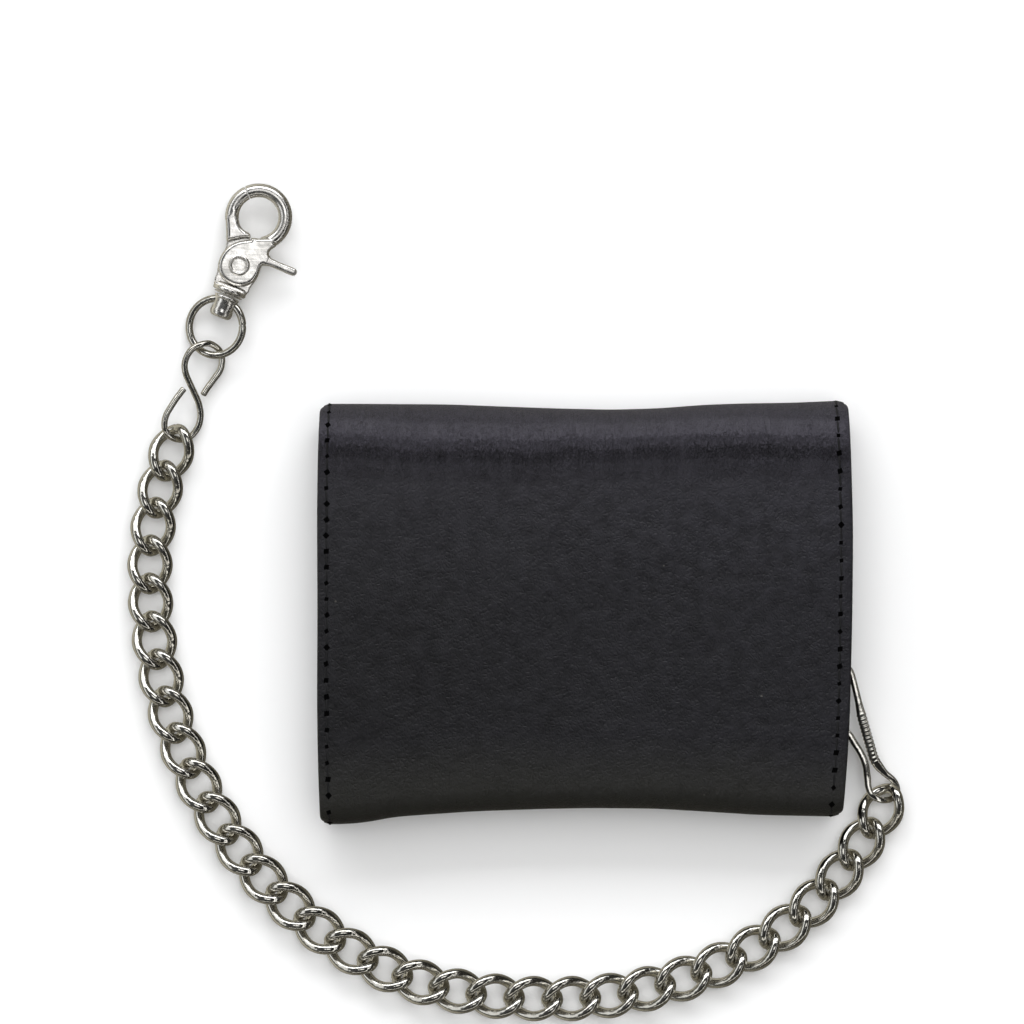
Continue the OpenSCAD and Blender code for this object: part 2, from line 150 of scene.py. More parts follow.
def tube_faces(rows, n, closed=False, off=0):
    """The quads between neighbouring closed rows of n points, the last row joined to the first when closed."""
    faces = []
    for i in range(rows if closed else rows - 1):
        a, b = off + i * n, off + (i + 1) % rows * n
        for k in range(n):
            k2 = (k + 1) % n
            faces.append((a + k, a + k2, b + k2, b + k))
    return faces


def bridge(a, b):
    """The quads between two closed rings of as many points."""
    n = len(a)
    return [(a[i], a[(i + 1) % n], b[(i + 1) % n], b[i]) for i in range(n)]


def circle(n):
    """n angles round a full turn."""
    return [2 * pi * k / n for k in range(n)]


def put(obj, body, slot, *nodes):
    """The piece rides on that body, in place of the named nodes, which it hides; slot is not used."""
    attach(obj, body)
    if nodes:
        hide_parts(*nodes)
    return obj


# ---- materials
def nodes_of(name, roughness, metallic=0.0, specular=0.5):
    material = bpy.data.materials.new(name)
    material.use_nodes = True
    tree = material.node_tree
    shader = tree.nodes["Principled BSDF"]
    shader.inputs["Roughness"].default_value = roughness
    shader.inputs["Metallic"].default_value = metallic
    shader.inputs["Specular IOR Level"].default_value = specular
    return material, tree, shader


def add(tree, kind, **values):
    node = tree.nodes.new(kind)
    for key, value in values.items():
        if key in node.inputs:
            node.inputs[key].default_value = value
        else:
            setattr(node, key, value)
    return node


def ramp(tree, source, stops):
    """A colour ramp; each stop is (place, grey level or colour)."""
    node = tree.nodes.new("ShaderNodeValToRGB")
    elements = node.color_ramp.elements
    while len(elements) < len(stops):
        elements.new(0.5)
    for element, (place, tone) in zip(elements, stops):
        element.position = place
        element.color = (*(tone if isinstance(tone, tuple) else (tone,) * 3), 1)
    tree.links.new(source, node.inputs["Fac"])
    return node.outputs["Color"]


def mapped(tree, scale, kind="UV", rotation=0.0):
    coord = add(tree, "ShaderNodeTexCoord")
    mapping = add(tree, "ShaderNodeMapping")
    mapping.inputs["Scale"].default_value = scale
    mapping.inputs["Rotation"].default_value = (0, 0, rotation)
    tree.links.new(coord.outputs[kind], mapping.inputs["Vector"])
    return mapping.outputs["Vector"]


def texture(tree, kind, vector, output="Fac", **values):
    node = add(tree, "ShaderNodeTex" + kind, **values)
    tree.links.new(vector, node.inputs["Vector"])
    return node.outputs[output]


def noise(tree, vector, scale, detail=4.0, rough=0.6, distortion=0.0):
    return texture(tree, "Noise", vector, Scale=scale, Detail=detail, Roughness=rough, Distortion=distortion)


def paint(tree, shader, colour, normal=None, roughness=None):
    """Links what is given to the shader."""
    for source, name in ((colour, "Base Color"), (normal, "Normal"), (roughness, "Roughness")):
        if source is not None:
            tree.links.new(source, shader.inputs[name])


def math_node(tree, operation, *values, clamp=False):
    node = add(tree, "ShaderNodeMath", operation=operation, use_clamp=clamp)
    for i, v in enumerate(values):
        if isinstance(v, (int, float)):
            node.inputs[i].default_value = v
        else:
            tree.links.new(v, node.inputs[i])
    return node.outputs["Value"]


def times(tree, a, b):
    return math_node(tree, "MULTIPLY", a, b)


def minus(tree, a, b):
    return math_node(tree, "SUBTRACT", a, b)


def bump(tree, height, strength, distance, normal=None):
    node = add(tree, "ShaderNodeBump", Strength=strength, Distance=distance)
    tree.links.new(height, node.inputs["Height"])
    if normal is not None:
        tree.links.new(normal, node.inputs["Normal"])
    return node.outputs["Normal"]


def mix_colour(tree, factor, a, b, blend="MIX"):
    node = add(tree, "ShaderNodeMix", data_type="RGBA", blend_type=blend)
    if isinstance(factor, (int, float)):
        node.inputs[0].default_value = factor
    else:
        tree.links.new(factor, node.inputs[0])
    for socket, value in ((node.inputs[6], a), (node.inputs[7], b)):
        if isinstance(value, tuple):
            socket.default_value = (*value, 1)
        else:
            tree.links.new(value, socket)
    return node.outputs[2]


def cover_leather(name, dark, light, olive):
    """Black nappa: fine crinkled grain and creased folds, with painted light: a painted grey sheen on the top fold's
    shoulder, a painted olive reflection on the lower fold and painted shade darkening it towards the bottom. UVs in
    decimetres, v along the strip.
    """
    material, tree, shader = nodes_of(name, 0.45, specular=0.34)
    plain = mapped(tree, (1, 1, 1))
    split = add(tree, "ShaderNodeSeparateXYZ")
    tree.links.new(plain, split.inputs["Vector"])
    u, v = split.outputs["X"], split.outputs["Y"]
    cloud = noise(tree, plain, 2.4, 3, 0.55)
    mottle = noise(tree, plain, 34, 5, 0.65)
    crinkle = noise(tree, mapped(tree, (210, 170, 1)), 1, 4, 0.68, 1.6)
    tone = mix_colour(tree, ramp(tree, cloud, [(0.36, 0.0), (0.66, 1.0)]), dark, light)
    patches = ramp(tree, mottle, [(0.38, 0.0), (0.66, 1.0)])
    tone = mix_colour(tree, times(tree, patches, 0.75), tone, tuple(c * 1.75 for c in light))
    # painted shade: the leather is darkened towards the bottom (low v), down to half at the lower fold, as if less lit
    # there
    painted_light_falloff = ramp(tree, math_node(tree, "ADD", v, 0.5), [(0.12, 0.5), (0.32, 0.5), (0.52, 0.62), (0.72, 0.9), (0.9, 1)])
    tone = mix_colour(tree, 1.0, tone, painted_light_falloff, "MULTIPLY")
    drift_right = ramp(tree, math_node(tree, "ADD", u, 0.5),
                       [(0.05, (0.9, 0.9, 0.88)), (0.95, (1.15, 1.15, 1.2))])
    tone = mix_colour(tree, 1.0, tone, drift_right, "MULTIPLY")
    # the folds' zones, with uneven borders
    drift = times(tree, minus(tree, noise(tree, mapped(tree, (3.2, 0.6, 1)), 1, 3), 0.5), 0.07)
    ragged = times(tree, minus(tree, crinkle, 0.5), 0.055)
    place = math_node(tree, "ADD", math_node(tree, "ADD", v, drift), ragged)
    top = ramp(tree, place, [(0.0, 0.0), (0.20, 0.03), (0.27, 0.15), (0.312, 0.5), (0.338, 0.95), (0.36, 1.0),
                             (0.395, 0.72), (0.56, 0.75), (0.64, 0.1), (0.7, 0.0)])
    low = ramp(tree, times(tree, place, -1.0), [(0.27, 0.0), (0.36, 0.65), (0.42, 1.0), (0.62, 0.6), (0.68, 0.0)])
    # painted sheen: a lighter grey painted over the top fold's shoulder, broken up by the crinkle, standing in for a
    # softbox's reflection there
    painted_sheen = times(tree, top, ramp(tree, crinkle, [(0.42, 0.30), (0.54, 1.0)]))
    tone = mix_colour(tree, times(tree, painted_sheen, 0.85), tone, (0.060, 0.056, 0.072))
    # painted reflection: the lower fold is painted a lighter olive, standing in for the olive surroundings reflected
    # there
    tone = mix_colour(tree, times(tree, low, 0.8), tone, olive)
    specks = texture(tree, "Voronoi", plain, "Distance", Scale=12.0, feature="F1")
    dots = ramp(tree, specks, [(0.0, 1.0), (0.02, 1.0), (0.032, 0.0)])
    tone = mix_colour(tree, times(tree, dots, 0.5), tone, (0.10, 0.095, 0.085))
    gloss = ramp(tree, mottle, [(0.3, 0.36), (0.75, 0.54)])
    cells = texture(tree, "Voronoi", mapped(tree, (135, 105, 1)), "Distance", Scale=1.0, feature="DISTANCE_TO_EDGE")
    grain = ramp(tree, cells, [(0.0, 0.0), (0.25, 1.0)])
    normal = bump(tree, grain, 0.6, 0.00013)
    normal = bump(tree, mottle, 0.65, 0.0005, normal)
    normal = bump(tree, noise(tree, plain, 7, 3, 0.5), 0.5, 0.0012, normal)
    folds = math_node(tree, "ADD", top, times(tree, low, 0.9), clamp=True)
    normal = bump(tree, times(tree, minus(tree, crinkle, 0.12), folds), 1.0, 0.0006, normal)
    wrinkles = noise(tree, mapped(tree, (34, 5, 1)), 1, 4, 0.6, 0.7)
    normal = bump(tree, times(tree, minus(tree, wrinkles, 0.25), folds), 0.9, 0.0008, normal)
    paint(tree, shader, tone, normal, gloss)
    return material


def plain_leather(name, colour, lighter, rough=0.5, scale=120.0):
    material, tree, shader = nodes_of(name, rough, specular=0.4)
    place = mapped(tree, (10, 10, 10), "Object")
    tone = mix_colour(tree, ramp(tree, noise(tree, place, scale / 10, 5), [(0.3, 0.0), (0.7, 1.0)]), colour, lighter)
    gloss = ramp(tree, noise(tree, place, scale, 3), [(0.2, rough - 0.1), (0.8, rough + 0.12)])
    cells = texture(tree, "Voronoi", place, "Distance", Scale=scale, feature="DISTANCE_TO_EDGE")
    normal = bump(tree, noise(tree, place, scale / 3, 4), 0.4, 0.0002, bump(tree, cells, 0.4, 0.00012))
    paint(tree, shader, tone, normal, gloss)
    return material


def lining_cloth():
    """Plain-woven black lining: crossed threads 0.35 mm apart."""
    material, tree, shader = nodes_of("lining_cloth", 0.8, specular=0.25)
    place = mapped(tree, (1, 1, 1))
    weave = math_node(tree, "MAXIMUM", *(texture(tree, "Wave", place, Scale=45.0, Distortion=0.6, bands_direction=d)
                                         for d in "XY"))
    tone = mix_colour(tree, ramp(tree, weave, [(0.3, 0.0), (0.9, 1.0)]), (0.010, 0.010, 0.011), (0.034, 0.034, 0.037))
    tone = mix_colour(tree, times(tree, noise(tree, place, 8), 0.5), tone, (0.02, 0.02, 0.024))
    paint(tree, shader, tone, bump(tree, weave, 0.6, 0.0001))
    return material


def thread_material(name, dark, light, specular=0.4):
    """Waxed, twisted thread; also used, near-black, as the needle holes' painted shade."""
    material, tree, shader = nodes_of(name, 0.55, specular=specular)
    place = mapped(tree, (1000, 1000, 1000), "Object", 0.7)
    twist = texture(tree, "Wave", place, Scale=1.1, Distortion=1.5, bands_direction="DIAGONAL")
    paint(tree, shader, mix_colour(tree, twist, dark, light), bump(tree, twist, 0.6, 0.0001))
    return material


def nickel(name, bright, dull, rough, wear=1.0):
    """Polished nickel plate with faint casting waves, hazy patches and tiny scratches."""
    material, tree, shader = nodes_of(name, rough, metallic=1.0)
    place = mapped(tree, (100, 100, 100), "Object")
    haze = noise(tree, place, 3.5, 4, 0.6)
    tone = mix_colour(tree, ramp(tree, haze, [(0.35, 0.0), (0.7, 1.0)]), bright, dull)
    scratches = noise(tree, mapped(tree, (260, 2600, 900), "Object", 0.5), 1, 3, 0.7, 0.3)
    gloss = ramp(tree, times(tree, haze, scratches), [(0.12, rough * 0.7), (0.42, rough * 1.9)])
    normal = bump(tree, noise(tree, place, 7, 3, 0.5), 0.22 * wear, 0.0004)
    normal = bump(tree, scratches, 0.05 * wear, 0.00005, normal)
    paint(tree, shader, tone, normal, gloss)
    return material


LEATHER_MAT = cover_leather("black_nappa", (0.0082, 0.0078, 0.0098), (0.0122, 0.0118, 0.0146), (0.0155, 0.0152, 0.0118))
POCKET_MAT = plain_leather("pocket_leather", (0.011, 0.0108, 0.0118), (0.019, 0.0187, 0.0198))
TAB_MAT = plain_leather("tab_leather", (0.011, 0.0108, 0.0115), (0.02, 0.0195, 0.02), 0.45)
LINING_MAT = lining_cloth()
THREAD_MAT = thread_material("waxed_thread", (0.006, 0.006, 0.0066), (0.014, 0.0138, 0.0148), 0.25)
# the needle holes: near-black paint standing in for the shade inside each hole
HOLE_SHADE_MAT = thread_material("needle_hole_shade", (0.0004, 0.0004, 0.0005), (0.0012, 0.0012, 0.0012), 0.02)
CHAIN_MAT = nickel("nickel_chain", (0.66, 0.645, 0.60), (0.50, 0.48, 0.43), 0.10)
CLIP_MAT = nickel("nickel_clip", (0.90, 0.88, 0.85), (0.79, 0.77, 0.73), 0.20, 0.4)
SPRING_MAT = nickel("spring_wire", (0.5, 0.5, 0.5), (0.4, 0.4, 0.4), 0.25)


def film_material():
    material, tree, shader = nodes_of("window_film", 0.12)
    shader.inputs["Alpha"].default_value = 0.3
    place = mapped(tree, (30, 30, 30), "Object")
    haze = noise(tree, place, 1.5, 3)
    paint(tree, shader, mix_colour(tree, haze, (0.62, 0.66, 0.69), (0.8, 0.83, 0.85)), bump(tree, haze, 0.3, 0.0004))
    return material


FILM_MAT = film_material()


# ---- sheets: leather and lining
def flat_run(y0, y1, z, normal_z, step=1.3):
    n = max(2, int(abs(y1 - y0) / step) + 1)
    return [((y, z), (0.0, normal_z)) for y in np.linspace(y0, y1, n)]


def arc_run(cy, cz, r, a0, a1, step=4.5):
    n = max(4, int(abs(a1 - a0) / step) + 1)
    return [((cy + r * cos(a), cz + r * sin(a)), (cos(a), sin(a)))
            for a in np.radians(np.linspace(a0, a1, n))]


def chain_runs(*runs):
    line = []
    for run in runs:
        for item in run:
            if not line or dist(line[-1][0], item[0]) >= 1e-6:
                line.append(item)
    return line


def sheet(name, line, thickness, half_w, material, v0=0.0, v_sign=1.0, v_at=0, round_start=True, round_end=True,
          columns=84):
    """A sheet of that thickness whose outer face follows line; v is the distance along it, v0 at point v_at."""
    pts = np.array([p for p, _ in line])
    nrm = np.array([n for _, n in line])
    s = np.concatenate([[0], np.cumsum(np.linalg.norm(np.diff(pts, axis=0), axis=1))])
    half = thickness / 2
    total = s[-1]
    extra = [half * k for k in (0.03, 0.15, 0.4, 0.7)]
    stations = list(s)
    if round_start:
        stations += extra
    if round_end:
        stations += [total - e for e in extra]
    stations = np.array(sorted(set(np.round(stations, 5))))
    py, pz = np.interp(stations, s, pts[:, 0]), np.interp(stations, s, pts[:, 1])
    ny, nz = np.interp(stations, s, nrm[:, 0]), np.interp(stations, s, nrm[:, 1])
    length = np.hypot(ny, nz)
    ny, nz = ny / length, nz / length
    squeeze = np.ones(len(stations))
    for rounded, distance in ((round_start, stations), (round_end, total - stations)):
        if rounded:
            d = np.clip(distance, 0, half)
            squeeze = np.minimum(squeeze, np.sqrt(np.clip(1 - ((half - d) / half) ** 2, 0.0004, 1)))
    inner = half_w - half
    across = np.linspace(-inner, inner, columns)
    edge = np.radians(np.linspace(90, -90, 9)[1:-1])
    loop = [(x, 1.0) for x in across]
    loop += [(inner + half * cos(a), sin(a)) for a in edge]
    loop += [(x, -1.0) for x in across[::-1]]
    loop += [(-inner - half * cos(a), -sin(a)) for a in edge]
    lx = np.array([q[0] for q in loop])
    ln = np.array([q[1] for q in loop])
    m = len(loop)
    verts, uvs = [], []
    for i, st in enumerate(stations):
        depth = -half + half * ln * squeeze[i]
        yy = py[i] + ny[i] * depth
        zz = pz[i] + nz[i] * depth
        verts.append(np.stack([lx, yy, zz], 1))
        uvs.append(np.stack([lx / 100, np.full(m, (v0 + v_sign * (st - s[v_at])) / 100)], 1))
    verts = np.concatenate(verts)
    uvs = np.concatenate(uvs)
    faces = tube_faces(len(stations), m)
    # the end caps are narrow strips between the outer and the inner row
    for base, flip in ((0, False), ((len(stations) - 1) * m, True)):
        c = columns
        top = [base + k for k in range(c)]
        low = [base + c + len(edge) + k for k in range(c)][::-1]
        for k in range(c - 1):
            f = (top[k], low[k], low[k + 1], top[k + 1])
            faces.append(f if not flip else f[::-1])
        side_r = [base + c + k for k in range(len(edge))]
        side_l = [base + 2 * c + len(edge) + k for k in range(len(edge))]
        right = [top[-1], *side_r, low[-1]]
        left = [low[0], *side_l, top[0]]
        faces.append(right if flip else right[::-1])
        faces.append(left if flip else left[::-1])
    return fix_normals(make(name, warp(verts), faces, material, uvs)), (stations, py, pz, ny, nz)


def fix_normals(obj, sharp=radians(55)):
    """Faces look outwards, and edges sharper than that angle stay crisp."""
    bm = bmesh.new()
    bm.from_mesh(obj.data)
    bmesh.ops.recalc_face_normals(bm, faces=bm.faces)
    for edge in bm.edges:
        edge.smooth = len(edge.link_faces) == 2 and edge.calc_face_angle() < sharp
    bm.to_mesh(obj.data)
    bm.free()
    obj.data.update()
    return obj


FRONT_END = -HALF_D + 1.0
FLAP_END = OUTER_Y - 1.4
outer_line = chain_runs(
    flat_run(FRONT_END, OUTER_Y, 0.0, -1),
    arc_run(OUTER_Y, OUTER_R, OUTER_R, -90, 90),
    flat_run(OUTER_Y, INNER_Y, THICK, 1))
cover, COVER_TRACK = sheet("outer_cover", outer_line, LEATHER, HALF_W, LEATHER_MAT,
                           v0=INNER_Y, v_sign=-1, v_at=-1, round_end=False)
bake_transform(cover)
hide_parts("front_flap_leather", "outer_spine_leather", "centre_panel_leather")

inner_line = chain_runs(
    arc_run(INNER_Y, INNER_Z, INNER_R, 90, 270),
    flat_run(INNER_Y, FLAP_END, INNER_FLAP_Z, -1))
inner_cover, INNER_TRACK = sheet("inner_cover", inner_line, LEATHER, HALF_W, LEATHER_MAT,
                                 v0=INNER_Y, v_sign=-1, round_start=False)
put(inner_cover, "centre_panel", "black_leather", "inner_spine_leather", "inner_flap_leather")

IN = LEATHER + GAP
lining_line = chain_runs(
    flat_run(FRONT_END + LINING, OUTER_Y, IN, -1),
    arc_run(OUTER_Y, OUTER_R, OUTER_R - IN, -90, 90),
    flat_run(OUTER_Y, INNER_Y, THICK - IN, 1))
lining, _ = sheet("bill_lining", lining_line, LINING, HALF_W - 0.6, LINING_MAT, round_end=False)
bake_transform(lining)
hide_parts("front_flap_lining", "outer_spine_lining", "centre_panel_lining")

inner_lining_line = chain_runs(
    arc_run(INNER_Y, INNER_Z, INNER_R - IN, 90, 270, 8),
    flat_run(INNER_Y, FLAP_END - LINING, INNER_FLAP_Z + IN, -1))
inner_lining, _ = sheet("inner_bill_lining", inner_lining_line, LINING, HALF_W - 0.6, LINING_MAT, round_start=False)
put(inner_lining, "centre_panel", "lining", "inner_spine_lining", "inner_flap_lining")


# ---- flat pieces: pockets and window
def slab(name, x0, x1, y0, y1, z0, z1, material, step=3.0, hole=None):
    """A flat sheet with rounded rims, open in the middle where hole is given."""
    half = (z1 - z0) / 2
    mid = (z0 + z1) / 2
    turn = np.radians(np.linspace(90, -90, 7))

    def rect(inset):
        n = max(2, int((x1 - x0) / step))
        k = max(2, int((y1 - y0) / step))
        xs = np.linspace(x0 + inset, x1 - inset, n + 1)
        ys = np.linspace(y0 + inset, y1 - inset, k + 1)
        pts = [(x, y0 + inset) for x in xs[:-1]] + [(x1 - inset, y) for y in ys[:-1]]
        pts += [(x, y1 - inset) for x in xs[:0:-1]] + [(x0 + inset, y) for y in ys[:0:-1]]
        return pts, n, k

    base, n, k = rect(half)
    m = len(base)
    verts, faces = [], []
    if hole is None:
        # grid on top and bottom, joined by a rounded rim
        xs = np.linspace(x0 + half, x1 - half, n + 1)
        ys = np.linspace(y0 + half, y1 - half, k + 1)
        for zz in (z1, z0):
            off = len(verts)
            verts += [(x, y, zz) for y in ys for x in xs]
            for j in range(k):
                for i in range(n):
                    a = off + j * (n + 1) + i
                    f = (a, a + 1, a + n + 2, a + n + 1)
                    faces.append(f if zz == z1 else f[::-1])
        top_ring = list(range(n)) + [j * (n + 1) + n for j in range(k)]
        top_ring += [k * (n + 1) + i for i in range(n, 0, -1)] + [j * (n + 1) for j in range(k, 0, -1)]
        low_ring = [t + (n + 1) * (k + 1) for t in top_ring]
    else:
        hx0, hx1, hy0, hy1 = hole
        inner = []
        for (x, y) in base:
            u = (x - x0 - half) / (x1 - x0 - 2 * half)
            w = (y - y0 - half) / (y1 - y0 - 2 * half)
            inner.append((hx0 + u * (hx1 - hx0), hy0 + w * (hy1 - hy0)))
        for zz in (z1, z0):
            off = len(verts)
            verts += [(x, y, zz) for x, y in base] + [(x, y, zz) for x, y in inner]
            face = bridge(range(off, off + m), range(off + m, off + 2 * m))
            faces += face if zz == z1 else [f[::-1] for f in face]
        top_ring, top_hole, low_ring, low_hole = (range(i * m, (i + 1) * m) for i in range(4))
        faces += bridge(top_hole, low_hole)
    previous = top_ring
    for a in turn[1:-1]:
        pts = rect(half - half * cos(a))[0]
        off = len(verts)
        verts += [(x, y, mid + half * sin(a)) for x, y in pts]
        ring = range(off, off + m)
        faces += bridge(previous, ring)
        previous = ring
    faces += bridge(previous, low_ring)
    verts = np.array(verts, float)
    obj = make(name, warp(verts), faces, material, verts[:, :2] / 100)
    return fix_normals(obj)


def pocket_set(tag, body, slot, node, free_y, fold_y, z):
    """Three stepped card pockets that open towards the fold."""
    toward = 1 if fold_y > free_y else -1
    for k in range(3):
        open_y = fold_y - toward * (POCKET_MOUTH + POCKET_STEP * k)
        piece = slab(f"{tag}_pocket_{k + 1}", -POCKET_HALF_W, POCKET_HALF_W, min(free_y, open_y), max(free_y, open_y),
                     z + k * CARD, z + (k + 1) * CARD - 0.06, POCKET_MAT)
        put(piece, body, slot, node)


pocket_set("front", "front_flap", "pocket_leather", "front_card_pockets", FRONT_END + 2, OUTER_Y, IN + LINING)
pocket_set("inner", "centre_panel", "pocket_leather", "inner_card_pockets", FLAP_END - 2, INNER_Y,
           INNER_FLAP_Z + IN + LINING)
mid_y = (INNER_Y + OUTER_Y) / 2
window_z = THICK - IN - LINING - 1.0
put(slab("window_frame", -POCKET_HALF_W, POCKET_HALF_W, mid_y - FRAME_HALF_D, mid_y + FRAME_HALF_D,
         window_z, window_z + 0.62, POCKET_MAT,
         hole=(-OPENING_HALF_W, OPENING_HALF_W, mid_y - OPENING_HALF_D, mid_y + OPENING_HALF_D)),
    "centre_panel", "pocket_leather", "id_window_frame")
put(slab("window_film", -FILM_HALF_W, FILM_HALF_W, mid_y - FILM_HALF_D, mid_y + FILM_HALF_D,
         window_z + 0.64, window_z + 0.94, FILM_MAT),
    "centre_panel", "window_film", "id_window_film")


# ---- stitches
def on_track(track, s):
    """The point y, z and the unit normal of a sheet's outer face, at a distance along it."""
    y, z, ny, nz = (np.interp(s, track[0], a) for a in track[1:])
    length = hypot(ny, nz)
    return y, z, ny / length, nz / length


def stitch_parts(track, s0, s1, pitch, x_line, rng):
    """Thread bows and needle holes along one seam of a sheet, in millimetres."""
    count = int(round((s1 - s0) / pitch))
    places = np.linspace(s0, s1, count + 1)
    threads, holes = [], []
    for i, s in enumerate(places):
        wob = rng.uniform(-0.08, 0.08)
        holes.append((x_line + wob, *on_track(track, s), rng.uniform(-0.5, 0.5)))
        if i < count:
            bow = []
            for t in np.linspace(0, 1, 9):
                y, z, ny, nz = on_track(track, s + (places[i + 1] - s) * (0.07 + 0.86 * t))
                rise = 0.10 * sin(pi * t) ** 0.5 - 0.28 * (1 - sin(pi * t)) ** 3 - 0.21
                bow.append((x_line + wob * (1 - t) + 0.12 * (t - 0.5), y + ny * rise, z + nz * rise))
            threads.append(bow)
    return threads, holes


def thread_mesh(bows, radius=0.27, sides=8):
    """Short round threads along the bows, thinner where they enter the leather."""
    verts, faces = [], []
    for bow in bows:
        pts = np.array(bow)
        n = len(pts)
        off = len(verts)
        for i in range(n):
            t = pts[min(i + 1, n - 1)] - pts[max(i - 1, 0)]
            t /= np.linalg.norm(t)
            a = np.cross(t, (1.0, 0, 0))
            a /= np.linalg.norm(a)
            b = np.cross(t, a)
            r = radius * (0.72 if i in (0, n - 1) else 1.0)
            verts += [pts[i] + r * (cos(w) * a + sin(w) * b) for w in circle(sides)]
        faces += tube_faces(n, sides, off=off)
        faces.append([off + k for k in range(sides)])
        faces.append([off + (n - 1) * sides + k for k in range(sides)][::-1])
    return np.array(verts), faces


def hole_mesh(holes, size=0.70, ring_n=12):
    """Each needle hole is a small slanted diamond set just above the leather; its near-black colour is painted shade
    standing in for the hole's depth.
    """
    verts, faces = [], []
    for x, y, z, ny, nz, turn in holes:
        wide = size * (0.92 + 0.16 * sin(37 * turn))
        normal = np.array([0, ny, nz])
        along = np.array([0, -nz, ny])
        side = np.array([1.0, 0, 0])
        centre = np.array([x, y, z])
        cs, sn = cos(0.5 + turn), sin(0.5 + turn)
        off = len(verts)
        for radius, height in ((1.0, 0.025), (0.8, 0.05), (0.55, 0.035), (0.0, 0.03)):
            for w in circle(ring_n if radius else 1):
                shape = 1 / (abs(cos(w)) + abs(sin(w)))
                u = wide * radius * shape * cos(w) * 0.92
                v = wide * radius * shape * sin(w) * 1.05
                u, v = u * cs - v * sn, u * sn + v * cs
                verts.append(centre + side * u + along * v + normal * height)
        faces += tube_faces(3, ring_n, off=off)
        tip = off + 3 * ring_n
        for k in range(ring_n):
            faces.append((off + 2 * ring_n + k, off + 2 * ring_n + (k + 1) % ring_n, tip))
    return np.array(verts), faces


def seam_pieces(tag, track, s0, s1, where, *nodes):
    """The threads and needle holes of a sheet's two seams, which run from s0 to s1 along it."""
    rng = np.random.default_rng(11)
    bows, holes = [], []
    for x_line, pitch in zip(SEAMS, STITCH_PITCHES):
        t, h = stitch_parts(track, s0, s1, pitch, x_line, rng)
        bows += t
        holes += h
    v, f = thread_mesh(bows)
    thread = make(f"{tag}_thread", warp(v), f, THREAD_MAT)
    v, f = hole_mesh(holes)
    # near-black diamonds over the needle holes: painted shade
    dots = make(f"{tag}_needle_holes", warp(v), f, HOLE_SHADE_MAT)
    for piece in (thread, dots):
        fix_normals(piece)
        if where == "outer":
            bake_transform(piece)
        else:
            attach(piece, where)
    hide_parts(*nodes)


seam_pieces("outer_seam", COVER_TRACK, 2.5, COVER_TRACK[0][-1] - 1.3, "outer",
            "front_flap_stitching", "centre_panel_stitching")
seam_pieces("inner_seam", INNER_TRACK, 2.2, INNER_TRACK[0][-1] - 2.5, "centre_panel", "inner_flap_stitching")


# ---- wire
def wire(name, points, radius, material, closed, sides=18, flat=None):
    """Round or flattened wire along points in millimetres. flat gives each point's (across, through) radii."""
    p = np.array(points, float)
    n = len(p)
    if closed:
        t = np.roll(p, -1, 0) - np.roll(p, 1, 0)
    else:
        t = np.gradient(p, axis=0)
    t /= np.linalg.norm(t, axis=1)[:, None]
    if flat is None:
        a = np.cross(t[0], np.array((0, 0, 1.0)))
        a /= np.linalg.norm(a)
        side = [a]
        for i in range(1, n):
            a = side[-1] - t[i] * np.dot(side[-1], t[i])
            side.append(a / np.linalg.norm(a))
        side = np.array(side)
        if closed:
            end = side[-1] - t[0] * np.dot(side[-1], t[0])
            end /= np.linalg.norm(end)
            error = atan2(np.dot(np.cross(end, side[0]), t[0]), np.dot(end, side[0]))
            for i in range(n):
                w = error * i / n
                side[i] = side[i] * cos(w) + np.cross(t[i], side[i]) * sin(w)
    else:
        side = np.cross(t, np.array((0, 0, 1.0)))
        side /= np.linalg.norm(side, axis=1)[:, None]
    up = np.cross(side, t)
    r = np.broadcast_to(np.asarray(radius, float), (n,))
    ra = r if flat is None else np.array([q[0] for q in flat])
    rb = r if flat is None else np.array([q[1] for q in flat])
    power = 1.0 if flat is None else 0.62
    verts = []
    for i in range(n):
        for w in circle(sides):
            c, s = cos(w), sin(w)
            c = copysign(abs(c) ** power, c)
            s = copysign(abs(s) ** power, s)
            verts.append(p[i] + side[i] * c * ra[i] + up[i] * s * rb[i])
    faces = tube_faces(n, sides, closed)
    if not closed:
        faces.append(list(range(sides))[::-1])
        faces.append([(n - 1) * sides + k for k in range(sides)])
    return fix_normals(make(name, verts, faces, material))


def spline(points, steps, closed):
    """A Catmull-Rom curve through the points."""
    p = np.array(points, float)
    n = len(p)
    out = []
    for i in range(n if closed else n - 1):
        if closed:
            a, b, c, d = p[(i - 1) % n], p[i], p[(i + 1) % n], p[(i + 2) % n]
        else:
            a, b, c, d = p[max(i - 1, 0)], p[i], p[min(i + 1, n - 1)], p[min(i + 2, n - 1)]
        for k in range(steps):
            t = k / steps
            out.append(0.5 * (2 * b + (c - a) * t + (2 * a - 5 * b + 4 * c - d) * t * t
                              + (3 * b - a - 3 * c + d) * t ** 3))
    if not closed:
        out.append(p[-1])
    return np.array(out)


# ---- curb chain
PITCH, CHAIN_Z = 7.77, 2.4
LINK_A, LINK_B, LINK_R, LINK_TWIST = 5.1, 3.6, 1.05, radians(45)
LINK_STATIONS, SEAM_AT = 72, 3
HEADING = [-118.4]
PLACE = [(60.5, -41.0)]
for bend in (-4.3, -5.5, -7.4, -8.1, -7.2, -5.7, -5.2, -5.4, -5.7, -5.2, -3.9, -3.4, -4.7, -6.8, -7.4, -6.6, -5.9, -5.6,
             -5.3, -5.1, -5.1, -5.1, -5.2, -5.2, -4.5, -4.1, -4.5, -5.3, -6, -6.1, -5.9):
    h0 = HEADING[-1]
    h1 = h0 + bend
    HEADING.append(h1)
    PLACE.append(tuple(q + PITCH / 2 * (f(radians(h0)) + f(radians(h1)))
                       for q, f in zip(PLACE[-1], (cos, sin))))

